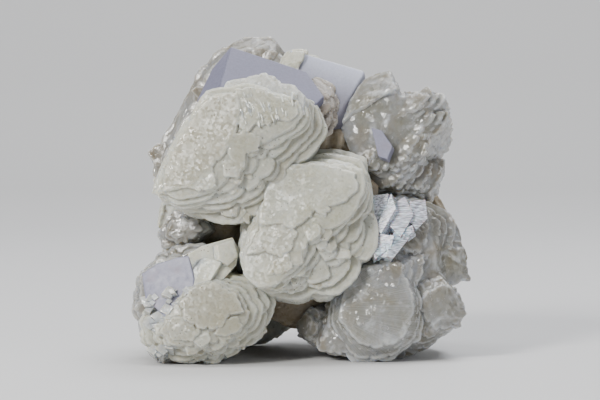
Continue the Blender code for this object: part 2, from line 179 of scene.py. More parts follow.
CENTRE = dict(
    middle=(1, -25.5, 35.5), facing=(-6, 20), steps=6, sides=2, lobes=(9, 1.7), growing=-52,
    first=((-5.9, 45), (0, 46), (7, 46), (14, 44.6), (15, 39.4), (13, 35.6), (9.2, 32.4), (4.8, 29.6),
           (1.6, 26.6), (-1.2, 22), (-5, 18.8), (-9.5, 18.4), (-13, 21), (-13.6, 26), (-11.5, 31.5),
           (-8.9, 38)),
    last=((-5.5, 45.5), (-0.5, 48), (7.5, 49), (15.5, 47), (16.8, 39.5), (17, 27), (13.5, 20), (8.5, 16),
          (0, 14.8), (-7, 15.8), (-12.5, 19.5), (-15, 25), (-13, 34.5)),
    scales=18, sector=(-120, -20), scale_size=(1.6, 3.2), inner=0.75,
    terraces=(
        (0.7, ((-6, 44.4), (0, 45.4), (7, 45.2), (13, 43.6), (13.6, 39.8), (11, 37), (7.4, 35.6),
               (6, 33.4), (3.4, 34.4), (1, 32.2), (-1.6, 30.4), (-5, 31.6), (-9.6, 31), (-8.4, 38))),
        (0.4, ((-9.4, 31.4), (-4, 33), (-0.6, 29.8), (-1.8, 26), (-4.4, 24.4), (-8, 25.6), (-12.4, 25))),
        (0.3, ((-6, 24), (-2.6, 25.4), (-1.6, 22.4), (-4.4, 20.4), (-8, 20.6))),
    ),
)
LOWER_LEFT = dict(
    middle=(-20, -28, 12.5), facing=(-2, 10), steps=5, sides=2, lobes=(6, 1.1), growing=-75,
    first=((-25.8, 18), (-20, 19.8), (-14.1, 17.4), (-11, 12.6), (-12.2, 8.9), (-16, 6.2), (-20.7, 4.6),
           (-25.8, 4.2), (-30, 5.2), (-31.7, 8), (-30, 12.6)),
    last=((-33, 14.5), (-25, 19), (-17, 21), (-8.5, 19.5), (-5.3, 14.5), (-8.5, 6.5), (-19, 0.5),
          (-30, 0.5), (-36.5, 5), (-37, 10)),
    scales=34, sector=(-185, -10), scale_size=(1.2, 2.8), inner=0.75,
    terraces=(
        (0.7, ((-24.4, 17.6), (-19.8, 19), (-14.6, 16.8), (-12.4, 12.4), (-15.6, 11.6), (-17.8, 8.6),
               (-22.6, 8.2), (-26.4, 10.4), (-27.2, 14.4))),
        (0.4, ((-18.6, 10.2), (-14, 11.6), (-12.6, 9.2), (-15.8, 7), (-19.4, 7.2))),
        (0.4, ((-29.6, 11), (-25.2, 10.6), (-22.4, 8), (-24.6, 5.4), (-29, 6.2), (-30.6, 8.4))),
    ),
)
LOWER_LEFT_FOOT = dict(
    middle=(-29, -23.5, 7), facing=(-22, 2), steps=3, sides=1, lobes=(5, 1.0),
    first=((-33, 10), (-28, 11), (-25, 8), (-25, 4), (-30, 3), (-34, 5.5)),
    last=((-36.5, 11), (-30, 15), (-22, 12), (-20, 3), (-27, 0.3), (-34, 2), (-37.5, 6)),
    scales=14, sector=(-200, 20), scale_size=(1.4, 3.2), inner=0.5,
)
LOWER_LEFT_RIM = dict(
    middle=(-24, -17, 14), facing=(-8, 6), steps=3, sides=2,
    first=((-37, 20), (-30, 24), (-20, 24), (-12, 16), (-14, 4), (-30, 2), (-36, 6), (-38, 13)),
    last=((-38.5, 19), (-33, 24.5), (-26, 27), (-16, 26), (-10, 16), (-13, 3), (-30, 0), (-37, 5),
          (-39, 12)),
    scales=16, sector=(60, 260), scale_size=(1.4, 3.0),
)
LEFT_MIDDLE = dict(
    middle=(-26, -10, 30), facing=(-15, 10), steps=2, sides=1,
    first=((-30, 33), (-24, 32.5), (-22, 30), (-24, 28), (-29, 26), (-31.5, 28)),
    last=((-29.5, 34.5), (-22.5, 33), (-20.5, 30), (-23, 28), (-30, 25), (-33, 25), (-34, 28.5),
          (-32.5, 31)),
    scales=6, sector=(0, 360), scale_size=(1.4, 3.0),
)
LOWER_FAN = dict(
    middle=(18.5, -22, 12.5), facing=(-4, 8), steps=4, sides=1,
    first=((11, 20), (15.6, 22.6), (20, 23), (24.6, 19.6), (26.4, 14), (25.6, 9.6), (22, 4.6), (17, 3.4),
           (12.6, 4.8), (8.5, 10)),
    last=((9, 22.5), (17.5, 25.5), (25.5, 21.5), (28.5, 13.5), (27.5, 5.5), (21, 0.5), (12, -0.5),
          (6, 8)),
    scales=22, sector=(-260, -110), scale_size=(1.2, 2.6), lobes=(4, 0.6), growing=-60,
    inner=0.5, filled=True,
)
UNDER_CENTRE = dict(
    middle=(-2, -8, 12), facing=(-10, -14), steps=2, sides=0,
    first=((-8, 14), (-1, 16), (4, 13), (3, 9), (-3, 7), (-8, 9)),
    last=((-9, 15), (0, 18), (5, 14), (4, 8), (-3, 6), (-9, 9)),
    scales=14, sector=(0, 360), scale_size=(1.2, 2.4),
)


def rhomb(middle, facing, steps, sides, half, spread, turn, scales=20):
    """A crystal whose layers are rounded rhombs, with scales all round it."""
    return dict(middle=middle, facing=facing, steps=steps, sides=sides, half=half, spread=spread, turn=turn,
                scales=scales, sector=(0, 360), scale_size=(1.2, 2.6), lobes=(4.5, 0.6), inner=0.55,
                filled=True)


def blade(middle, facing, sides, half, turn, scales):
    """A long crystal of the upper right, with narrow scales lying along it."""
    made = rhomb(middle, facing, 3, sides, half, 1.8, turn, scales)
    made.update(lobes=(2.6, 0.7), lie=turn, inner=0.0, scale_size=(0.9, 2.4))
    return made


UPPER_RIGHT_BLADES = (
    blade((22.8, -11.5, 58.6), (-20, 28), 1, (9.5, 3.4), 24, 40),
    blade((24.8, -11, 54), (-16, 22), 2, (8.5, 3.6), 28, 44),
    blade((21.8, -12.4, 49.2), (-20, 20), 2, (7.4, 4.4), 32, 44),
    blade((15.2, -12.4, 50.2), (-30, 22), 2, (5, 5.6), 30, 6),
    blade((21, -11.4, 43.6), (-16, 12), 1, (6.4, 3.4), 24, 10),
    blade((26.8, -7.6, 43.6), (-8, 24), 1, (5.6, 4), 34, 10),
    blade((26.5, 0, 55), (-20, 34), 2, (6, 4.5), 24, 8),
)
RIGHT_LOBE_TOP = rhomb((28.3, -14.5, 31), (16, 24), 4, 1, (5.5, 5.5), 5, 20, 12)
RIGHT_LOBE = rhomb((34.4, -10.5, 24.4), (32, 4), 4, 1, (5, 5.5), 4, 50, 12)
RIGHT_FOOT = rhomb((29.4, -18, 12.2), (20, 2), 4, 2, (6, 6.5), 4.5, 75, 8)
MIDDLE_FOOT = rhomb((9.5, -18, 8), (-20, 6), 3, 1, (5.5, 4.5), 3.5, 35, 10)
LEFT_FOOT = rhomb((2.5, -13, 7), (-40, -6), 2, 1, (4, 3.5), 2, 10, 12)
RIGHT_MIDDLE = rhomb((21.5, -20.5, 22), (-4, 18), 3, 0, (4.5, 4), 3, 30, 6)
BOTTOM_FOOT = rhomb((22, -14.5, 4.5), (6, -22), 2, 1, (9, 4), 2, 0, 16)
BACK_LARGE = rhomb((8, 26, 43), (172, 14), 4, 1, (12, 12), 8, 24, 60)
BACK_UPPER = rhomb((-17, 23, 52), (205, 20), 3, 1, (7, 10), 6, -20, 36)
BACK_LOWER = rhomb((-14, 25, 15.5), (196, -6), 4, 1, (13, 11), 7, 12, 60)
BACK_FOOT = rhomb((18, 22, 10.5), (150, -8), 3, 1, (8, 8), 6, 40, 36)
LEFT_SIDE = rhomb((-33, 5, 20), (-100, 4), 3, 1, (9, 7), 5, 25, 30)
LEFT_SHOULDER = rhomb((-28.5, 8, 42), (-116, 22), 3, 1, (7, 10), 5, 35, 30)
RIGHT_SHOULDER = rhomb((28, 8, 48), (74, 16), 3, 1, (6, 9), 5, -20, 30)
RIGHT_SIDE = rhomb((35, 5, 15), (92, 0), 3, 1, (8, 7), 6, 30, 30)
RIGHT_HOLLOW = rhomb((32, 12, 33), (110, 10), 2, 1, (5, 4), 4, 10, 16)
SHADED_BROWN_HOLLOW = rhomb((5, -12.5, 51), (-24, 4), 3, 0, (4, 5), 3, 10, 12)
CROWN = rhomb((-1, 10, 68), (175, 56), 3, 1, (8, 5), 4, 15, 30)

# The blocks under the crystals, by their corners, and flat faces, each as its outline (x, z) in
# front elevation, a place on its slope and its facing
UPPER_LEFT_CORE = (
    (-16, -5, 70.5), (-20, -17, 60), (-14, -17, 60), (1, -4, 64.5), (6, -6, 59.5),
    (4.5, -16, 55), (-31, -9, 45), (-30, -21, 40), (-12, -19, 36), (-14, 12, 66), (4, 10, 56),
    (-26, 8, 42), (-8, 6, 30),
)
UPPER_LEFT_FACE = (((-16.2, 72.2), (1.4, 66.4), (5.4, 60.8), (2.4, 58), (-8, 57), (-19.4, 60.2)),
                   (-6, -13.2, 65.6), (4, 48))
UPPER_LEFT_EDGE_FACE = (((-16.2, 72.2), (-19.4, 60.2), (-24, 59.6), (-20.6, 67)),
                        (-16.2, -6.6, 72.2), (-59, 39))
UPPER_RIGHT_CORE = (
    (-2.5, -4, 71.5), (15, -5, 66.5), (8, -15, 55), (0, -11.7, 61), (14, -7, 51),
    (0, 10, 62), (14, 8, 56), (2, 0, 44), (16, 4, 42),
)
BLADES_CORE = (
    (9, -12.6, 54), (13, -11.6, 60), (21, -12.6, 61), (30, -10, 60.6), (32, -7, 55), (28.6, -8.4, 46),
    (25, -11, 41.6), (18, -12.4, 42), (12, -13.4, 46), (19, -14.2, 50), (25.6, -12.4, 54.6), (12, 4, 56),
    (30, 4, 56), (24, 4, 42), (12, 4, 42),
)
CENTRE_CORE = (
    (-6, -16, 42), (13, -16, 44), (18, -12, 40), (17, -12, 24), (8, -18, 16),
    (-9, -17, 20), (-12, -14, 33), (-10, 10, 44), (16, 10, 44), (14, 10, 16), (-10, 10, 16),
)
LOWER_LEFT_CORE = (
    (-36, -19, 20), (-26, -18, 24.2), (-25, -22, 14), (-34, -22, 13.5), (-35, -10, 20),
    (-26, -9, 24.5), (-15, -15, 25), (-30, -21, 8), (-20, -22, 16), (-33, -12, 6),
    (-14, -16, 5), (-31, 8, 18), (-12, 8, 22), (-26, 8, 5), (-12, 8, 4),
)
LOWER_LEFT_FACE = (((-36.2, 20.6), (-32.9, 22.8), (-28.2, 24.4), (-25.4, 24.9), (-24, 19.7), (-24.6, 13),
                    (-30.5, 11), (-35.2, 15)), (-30, -25, 18.5), (-14, 17))
LOWER_RIGHT_CORE = (
    (8, -13, 8), (22, -18, 4), (32, -13, 6), (35, -9, 18), (34, -9, 30), (26, -13, 37),
    (16, -13, 38), (10, -13, 20), (22, -18, 24), (31, -15, 26), (8, 12, 8), (26, 12, 6),
    (28, 10, 30), (12, 10, 34),
)
BACK_CORE = (
    (-22, 4, 12), (-24, 4, 44), (-8, 6, 60), (12, 6, 58), (24, 4, 40), (22, 4, 10),
    (-16, 20, 16), (-14, 20, 44), (10, 18, 50), (16, 20, 18), (0, 14, 5),
)
# Split faces below the crystal on the right
BRIGHT_SLABS = (
    (((20.7, 38.7), (21.7, 35.3), (18.3, 29.6), (17.1, 30.7), (19.3, 34.9)), (20, -19.5, 34), (-20, 24)),
    (((23.9, 37.8), (25.8, 34), (24.6, 31.7), (22.8, 28.9), (19.3, 32.4), (21.8, 36.6)),
     (23, -18.6, 33), (-4, 30)),
    (((22.6, 31.4), (25.8, 30.7), (24.6, 28.4), (21.1, 24.2), (19.5, 24.6), (20.6, 28.9)),
     (22.5, -20.8, 28), (10, 22)),
    (((18, 29.6), (21.3, 29.2), (19.9, 24.2), (17.4, 24.4), (17, 28.4)), (19, -21.4, 27), (-14, 14)),
    (((25.1, 36.8), (28.6, 37.1), (29.1, 32.9), (26.5, 30.3), (25, 32.4)), (27, -17, 34), (14, 16)),
    (((15.8, 38), (20, 38.6), (19.6, 34), (16.6, 29), (15.6, 31)), (17.5, -18, 34), (-26, 14)),
)
SLAB_THICKNESS = 6
BLOCK_THICKNESS = 7
# The saw edge under the slabs, from its left end to its right end
SAW_EDGE = ((17, -22.6, 24.6), (25.6, -19.6, 30.2))
SAW_TEETH = 9
SAW_THICKNESS = 2.5

VIOLET_FACET = (((16.2, 53.6), (18.6, 53), (21, 49.4), (19.8, 46.4), (17.8, 47)),
                (18.7, -16.1, 50), (-10, 14))
VIOLET_THICKNESS = 5

# Small rhombs on the lower left crystal: the ranges of their places across and up and how many,
# and the rounded front that they stand on
RHOMB_SPOTS = (((-37, -29.5), (8, 16), 16), ((-30, -25), (10.5, 19), 7), ((-34, -25), (3, 9), 9))
RHOMB_FRONT = -27.6
RHOMB_CURVE = 0.045
RHOMB_CURVE_MIDDLE = -27
RHOMB_SIZE = (0.8, 2.0)
RHOMB_REACHES = (1.0, 0.75, 1.0, 0.75)


# Outlines, as a middle and a reach by angle

class Outline:
    """A closed outline in a plate's plane, read as the distance from its own middle."""

    def __init__(self, corners):
        points = np.array(corners, float)
        self.middle = points.mean(axis=0)
        spokes = points - self.middle
        angles = np.arctan2(spokes[:, 1], spokes[:, 0]) % math.tau
        order = np.argsort(angles)
        angles, lengths = angles[order], np.hypot(*spokes.T)[order]
        self.angles = np.concatenate(([angles[-1] - math.tau], angles, [angles[0] + math.tau]))
        self.lengths = np.concatenate(([lengths[-1]], lengths, [lengths[0]]))

    def reach(self, angle):
        """The distance at an angle, between a straight side and a curved one."""
        angle = np.asarray(angle) % math.tau
        after = np.clip(np.searchsorted(self.angles, angle, side="right"), 1, len(self.angles) - 1)
        since = angle - self.angles[after - 1]
        until = self.angles[after] - angle
        first, second = self.lengths[after - 1], self.lengths[after]
        straight = first * second * np.sin(since + until)
        straight = straight / np.maximum(first * np.sin(since) + second * np.sin(until), 1e-6)
        share = since / (since + until)
        curved = first * (1 - share) + second * share
        return STRAIGHTNESS * straight + (1 - STRAIGHTNESS) * curved


def facing_frame(middle, facing):
    """The frame of a plate: X to its right, Y up along it and Z out of its face."""
    turn, tilt = (math.radians(angle) for angle in facing)
    out = Vector((math.sin(turn) * math.cos(tilt), -math.cos(turn) * math.cos(tilt), math.sin(tilt)))
    right = Vector((math.cos(turn), math.sin(turn), 0))
    found = Matrix((right, out.cross(right), out)).transposed().to_4x4()
    found.translation = Vector(middle)
    return found


def on_plane(plane, x, z):
    """The place on a plane that front elevation shows at (x, z)."""
    middle = plane.translation
    out = plane.to_3x3().col[2]
    return Vector((x, middle.y - (out.x * (x - middle.x) + out.z * (z - middle.z)) / out.y, z))


def outline_from_front(outline, plane):
    """Front elevation points, carried along Y to the plate's plane, in its own frame."""
    into = plane.inverted()
    return Outline([(into @ on_plane(plane, x, z)).xy for x, z in outline])


def rounded_rhomb(half_width, half_height, turn):
    """A superellipse between a rhomb and an ellipse, turned in its plane."""
    lean = Matrix.Rotation(math.radians(turn), 2)
    found = []
    for i in range(RHOMB_POINTS):
        angle = math.tau * i / RHOMB_POINTS
        c, s = math.cos(angle), math.sin(angle)
        scale = (abs(c) ** RHOMB_POWER + abs(s) ** RHOMB_POWER) ** (-1 / RHOMB_POWER)
        found.append(lean @ Vector((half_width * scale * c, half_height * scale * s)))
    return Outline(found)


def lobes(angle, size, width, depth):
    """How far a rim draws in: uneven rounded lobes with sharp notches between them."""
    cuts = [rng.uniform(0, math.tau)]
    end = cuts[0] + math.tau
    while cuts[-1] < end - 0.7 * width / size:
        cuts.append(cuts[-1] + rng.uniform(*LOBE_UNEVENNESS) * width / size)
    cuts[-1] = end
    cuts = np.array(cuts)
    stand = rng.uniform(-0.5, 0.5, len(cuts))
    local = cuts[0] + (angle - cuts[0]) % math.tau
    lobe = np.clip(np.searchsorted(cuts, local, side="right") - 1, 0, len(cuts) - 2)
    span = cuts[lobe + 1] - cuts[lobe]
    across = 2 * (local - cuts[lobe]) / span - 1
    bulge = np.sqrt(np.clip(1 - across**2, 0, 1))
    return depth * ((1 - bulge) * np.clip(span * size / width, 0.4, 1.3) + stand[lobe])


def rim_at(angle, drawn_in):
    """How far a rim with lobes draws in at any angle."""
    return np.interp(angle % math.tau, RIM_ANGLES, drawn_in)


def cut_chip(length, width):
    """The reach of a flat chip with five to seven straight sides."""
    sides = rng.integers(5, 8)
    ways = (np.arange(sides) + rng.uniform(-0.3, 0.3, sides)) * math.tau / sides
    stands = rng.uniform(0.62, 1.0, sides)

    def reach(angle):
        turned = np.arctan2(np.sin(angle) * length, np.cos(angle) * width)
        facing = np.cos(turned[..., None] - ways)
        far = np.min(np.where(facing > 0.1, stands / np.maximum(facing, 0.1), 9), axis=-1)
        return far * np.hypot(np.cos(turned) * length, np.sin(turned) * width)

    return reach


# Meshes and objects

def linked(name, data):
    """A new object in the scene."""
    made = bpy.data.objects.new(name, data)
    bpy.context.scene.collection.objects.link(made)
    return made


def mesh_from(name, bm):
    """A mesh of what a bmesh holds, which is freed."""
    mesh = bpy.data.meshes.new(name)
    bm.to_mesh(mesh)
    bm.free()
    return mesh


def vectors(mesh, key):
    """The places or normals of a mesh's points, one row each."""
    found = np.empty(len(mesh.vertices) * 3, np.float32)
    mesh.vertices.foreach_get(key, found)
    return found.reshape(-1, 3).astype(float)


# Plates: one pattern made once, then shaped for each layer and scale

def plate_pattern(segments):
    """A round plate with a rounded rim and rings on its face, 1 across and 1 thick."""
    bm = bmesh.new()
    bmesh.ops.create_cone(bm, cap_ends=True, segments=segments, radius1=1, radius2=1, depth=1)
    top = max(bm.faces, key=lambda face: face.calc_center_median().z)
    for ring in RINGS:
        bmesh.ops.inset_region(bm, faces=[top], thickness=0, depth=0)
        for vert in top.verts:
            vert.co.xy = vert.co.xy.normalized() * ring
    bmesh.ops.poke(bm, faces=[top])
    mesh = mesh_from("plate_pattern", bm)
    mesh.attributes.new("tone", "FLOAT", "POINT")
    mesh.attributes.new("rim", "FLOAT", "POINT")
    return mesh


PATTERNS = {count: plate_pattern(count) for count in (PLATE_SEGMENTS, SCALE_SEGMENTS)}


def add_plate(group, segments, plane, reach, thickness, dome, lip, tone):
    """Shapes a copy of the pattern and adds it to the group's mesh."""
    pattern = PATTERNS[segments]
    points = vectors(pattern, "co")
    ring = np.hypot(points[:, 0], points[:, 1])
    angle = np.arctan2(points[:, 1], points[:, 0])
    far = reach(angle)
    top = points[:, 2] > 0
    outer = ring > 0.99
    far = far - np.where(top & outer, lip, 0)
    shaped = np.empty_like(points)
    shaped[:, 0] = far * ring * np.cos(angle)
    shaped[:, 1] = far * ring * np.sin(angle)
    shaped[:, 2] = np.where(top, dome * (1 - ring**2), -thickness)
    shaped[:, 2] -= np.where(top & outer, lip * 0.4, 0)
    turned = np.array(plane.to_3x3()) @ shaped.T
    placed = turned.T + np.array(plane.translation + CENTRING)
    plate = pattern.copy()
    plate.vertices.foreach_set("co", (placed * MM).astype(np.float32).ravel())
    plate.attributes["tone"].data.foreach_set("value", np.full(len(points), tone, np.float32))
    # rim is 1 on a plate's sides and outer ring; the materials pale the rims with it, partly for their
    # milky colour and partly as painted light through the thin edges
    plate.attributes["rim"].data.foreach_set("value", np.where(top, ring**3, 1).astype(np.float32))
    group.from_mesh(plate)
    bpy.data.meshes.remove(plate)


def pour(part, group):
    """Adds one bmesh to another and frees it."""
    mesh = mesh_from("part", part)
    group.from_mesh(mesh)
    bpy.data.meshes.remove(mesh)


def add_core(group, corners):
    """Adds a block with flat crystal faces: the convex hull of its corners."""
    block = bmesh.new()
    for corner in corners:
        block.verts.new((Vector(corner) + CENTRING) * MM)
    hull = bmesh.ops.convex_hull(block, input=block.verts)
    bmesh.ops.delete(block, geom=hull["geom_interior"], context="VERTS")
    bmesh.ops.recalc_face_normals(block, faces=block.faces)
    pour(block, group)


class Crystal:
    """A crystal in layers: its frame, the outlines of its first and last step and its width."""

    def __init__(self, spec):
        self.spec = spec
        self.steps = spec["steps"]
        self.depth = STEP_PITCH * (self.steps - 1)
        self.facing = facing_frame(spec["middle"], spec["facing"])
        if "half" in spec:
            wide, high = spec["half"]
            more = spec["spread"]
            self.small = rounded_rhomb(wide, high, spec["turn"])
            self.large = rounded_rhomb(wide + more, high + more, spec["turn"])
            side = math.radians(spec["turn"] * 3 + 140)
            self.small.middle = OFF_CENTRE * more * np.array((math.cos(side), math.sin(side)))
        else:
            last = self.facing @ Matrix.Translation((0, 0, -self.depth))
            self.small = outline_from_front(spec["first"], self.facing)
            self.large = outline_from_front(spec["last"], last)
        self.across = float(self.large.reach(0) + self.large.reach(math.pi))
        self.dome = DOME_SHARE * self.across

    def reach(self, angle, share):
        """The outline between the first step and the last."""
        return self.small.reach(angle) * (1 - share) + self.large.reach(angle) * share

    def layer_plane(self, share, depth):
        middle = self.small.middle * (1 - share) + self.large.middle * share
        return self.facing @ Matrix.Translation((middle[0], middle[1], -depth))

    def rise(self, away, far):
        """How high the domed face stands at a distance from its middle, out of the whole reach."""
        return self.dome * max(0.0, 1 - (away / far) ** 2)

    def grow(self, group):
        """Adds the layers from the face backwards, then the terraces and the scales."""
        if self.spec.get("filled"):
            self.fill(group)
        self.shares = np.arange(self.steps) / (self.steps - 1)
        uneven = rng.uniform(-STEP_UNEVENNESS, STEP_UNEVENNESS, self.steps - 2)
        self.shares[1:-1] += uneven / (self.steps - 1)
        for layer in self.layers():
            self.add_layer(group, *layer)
        for height, outline in self.spec.get("terraces", ()):
            self.add_terrace(group, height, outline)
        for _ in range(self.spec.get("scales", 0)):
            self.add_scale(group)

    def fill(self, group):
        """Fills the crystal behind its rims with a smooth block, so that its ledges stay low."""
        front, back = FILL_INSETS
        ends = ((self.small, FILL_DEPTH, front), (self.large, self.depth + FILL_DEPTH, back))
        corners = []
        for turn in np.arange(FILL_CORNERS) * math.tau / FILL_CORNERS:
            for outline, depth, inset in ends:
                far = float(outline.reach(turn)) - inset
                x = outline.middle[0] + far * math.cos(turn)
                y = outline.middle[1] + far * math.sin(turn)
                corners.append(self.facing @ Vector((x, y, -depth)))
        add_core(group, corners)

    def layers(self):
        """Each layer's share of the spread, its scale, depth, rim thickness and overhang."""
        found = []
        for step, share in enumerate(self.shares):
            found.append((share, 1, STEP_PITCH * step, RIM_THICKNESS, OVERHANG))
        for side in range(self.spec["sides"]):
            for part in (0.5, 1):
                scale = SIDE_SCALES[side] - SIDE_NARROWING * part + rng.uniform(-0.015, 0.02)
                depth = self.depth + SIDE_PITCH * (side + part)
                found.append((1, scale, depth, SIDE_RIM_THICKNESS, SIDE_OVERHANG))
        return found

    def add_layer(self, group, share, scale, depth, thickness, overhang):
        """A plate with a lobed rim that overhangs a thicker plate behind it."""
        plane = (
            self.layer_plane(share, depth)
            @ Matrix.Rotation(rng.uniform(-LAYER_TILT, LAYER_TILT), 4, "X")
            @ Matrix.Rotation(rng.uniform(-LAYER_TILT, LAYER_TILT), 4, "Y")
        )
        tone = rng.uniform()
        drawn_in = lobes(RIM_ANGLES, self.across / 2, *self.spec.get("lobes", LOBES))
        if "growing" in self.spec:
            away = RIM_ANGLES - math.radians(self.spec["growing"])
            drawn_in = drawn_in * (1 - GROWING_SHARE + GROWING_SHARE * np.cos(away))
        drawn_in = drawn_in + lobes(RIM_ANGLES, self.across / 2, *TEETH)

        def rim(angle):
            return self.reach(angle, share) * scale - rim_at(angle, drawn_in)

        add_plate(group, PLATE_SEGMENTS, plane, rim, thickness, self.dome, LAYER_LIP, tone)
        behind = plane @ Matrix.Translation((0, 0, -BODY_SETBACK))
        add_plate(group, PLATE_SEGMENTS, behind, lambda angle: rim(angle) - overhang,
                  self.spec.get("body", BODY_THICKNESS), self.dome, LAYER_LIP, tone)

    def add_terrace(self, group, height, outline):
        """A raised plate with a lobed rim, which follows the slope of the domed face."""
        raised = outline_from_front(outline, self.facing)
        spot = raised.middle - self.small.middle
        far = float(self.small.reach(math.atan2(spot[1], spot[0])))
        slope = 2 * self.dome / far**2
        plane = (
            self.facing
            @ Matrix.Translation((*raised.middle, self.rise(math.hypot(*spot), far) + height))
            @ Matrix.Rotation(math.atan(slope * spot[0]), 4, "Y")
            @ Matrix.Rotation(-math.atan(slope * spot[1]), 4, "X")
        )
        wide = float(raised.reach(0) + raised.reach(math.pi))
        drawn_in = lobes(RIM_ANGLES, wide / 2, *TERRACE_LOBES)
        drawn_in = drawn_in + lobes(RIM_ANGLES, wide / 2, *TEETH)
        add_plate(group, PLATE_SEGMENTS, plane, lambda angle: raised.reach(angle) - rim_at(angle, drawn_in),
                  TERRACE_THICKNESS, TERRACE_DOME_SHARE * wide, TERRACE_LIP, rng.uniform())

    def add_scale(self, group):
        """A flat chip with straight sides, which lies on one of the steps."""
        inner = self.spec.get("inner", 0.55)
        step = rng.integers(1 if "half" in self.spec else 0, self.steps)
        share = self.shares[step]
        angle = math.radians(rng.uniform(*self.spec["sector"]))
        size = rng.uniform(*self.spec["scale_size"])
        far = float(self.reach(angle, share))
        inward = far * math.sqrt(rng.uniform(inner**2, 1)) - SCALE_OVERLAP * size
        lie = angle
        if "lie" in self.spec:
            lie = math.radians(self.spec["lie"] + rng.uniform(-14, 14))
        stand = self.rise(inward, far) + rng.uniform(0.08, 0.25 if step == 0 else 0.45)
        plane = (
            self.layer_plane(share, STEP_PITCH * step)
            @ Matrix.Rotation(angle, 4, "Z")
            @ Matrix.Translation((inward, 0, stand))
            @ Matrix.Rotation(lie - angle + rng.uniform(-0.5, 0.5), 4, "Z")
            @ Matrix.Rotation(math.radians(rng.uniform(-8, 6)), 4, "Y")
            @ Matrix.Rotation(math.radians(rng.uniform(-5, 5)), 4, "X")
        )
        chip = cut_chip(size, size * rng.uniform(0.5, 0.95))
        add_plate(group, SCALE_SEGMENTS, plane, chip, SCALE_THICKNESS, SCALE_DOME_SHARE * size,
                  SCALE_LIP, rng.uniform())


# The grown skin of one crystal and what its colour follows

def value_noise(points, scale, seed):
    """Smooth noise from -1 to 1 at each point, with cells of the given size."""
    spots = points / scale + 100.0
    base = np.floor(spots).astype(np.int64)
    part = spots - base
    part = part * part * (3 - 2 * part)
    total = np.zeros(len(points))
    for corner in range(8):
        offset = np.array([corner >> 2 & 1, corner >> 1 & 1, corner & 1])
        weight = np.prod(np.where(offset, part, 1 - part), axis=1)
        total += weight * hashed(base + offset, seed)
    return total * 2 - 1


def hashed(cells, seed):
    """A number from 0 to 1 for each whole-numbered cell."""
    mixed = cells[:, 0] * 374761393 + cells[:, 1] * 668265263 + cells[:, 2] * 2147483647 + seed * 144665
    mixed = (mixed ^ (mixed >> 13)) * 1274126177
    mixed = mixed ^ (mixed >> 16)
    return (mixed & 0xFFFFFF) / 0xFFFFFF


def surroundings(mesh, points, normals):
    """How hollow the surface is at each point, from the mean of its neighbours."""
    edges = np.empty(len(mesh.edges) * 2, np.int32)
    mesh.edges.foreach_get("vertices", edges)
    edges = edges.reshape(-1, 2)
    count = np.bincount(edges.ravel(), minlength=len(points)).astype(float)

    def spread(values):
        total = np.empty_like(values)
        for axis in range(values.shape[1]):
            total[:, axis] = (
                np.bincount(edges[:, 0], values[edges[:, 1], axis], len(points))
                + np.bincount(edges[:, 1], values[edges[:, 0], axis], len(points))
            )
        return total / count[:, None]

    middle = points
    for _ in range(6):
        middle = spread(middle)
    return np.einsum("ij,ij->i", middle - points, normals)


def skin_over(name, source, size, most):
    """One closed skin over the source mesh, with at most the given number of triangles."""
    holder = linked(name + "_plates", source)
    join = holder.modifiers.new("join", "REMESH")
    join.mode = "VOXEL"
    join.voxel_size = size * MM
    fine = holder.evaluated_get(bpy.context.evaluated_depsgraph_get())
    triangles = len(fine.data.polygons) * 2
    thin = holder.modifiers.new("thin", "DECIMATE")
    thin.ratio = min(1.0, most / triangles)
    done = holder.evaluated_get(bpy.context.evaluated_depsgraph_get())
    mesh = bpy.data.meshes.new_from_object(done)
    bpy.data.objects.remove(holder)
    return mesh


def drop_crumbs(mesh):
    """Deletes the tiny closed bits that the joining leaves beside a skin."""
    bm = bmesh.new()
    bm.from_mesh(mesh)
    left = set(bm.verts)
    crumbs = []
    while left:
        found = [left.pop()]
        for vert in found:
            for edge in vert.link_edges:
                other = edge.other_vert(vert)
                if other in left:
                    left.discard(other)
                    found.append(other)
        if len(found) < CRUMB_POINTS:
            crumbs.extend(found)
    bmesh.ops.delete(bm, geom=crumbs, context="VERTS")
    bm.to_mesh(mesh)
    bm.free()


def place_piece(name, mesh, material):
    """Puts a finished mesh in the scene, riding on the body and standing for the node."""
    piece = linked(name, mesh)
    mesh.materials.clear()
    mesh.materials.append(material)
    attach(piece, BODY)
    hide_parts(NODE)


def smooth_with_creases(mesh):
    mesh.shade_smooth()
    mesh.set_sharp_from_angle(angle=math.radians(SHARP_ANGLE))


def new_group():
    """An empty bmesh that carries the plates' two values."""
    group = bmesh.new()
    group.verts.layers.float.new("tone")
    group.verts.layers.float.new("rim")
    return group


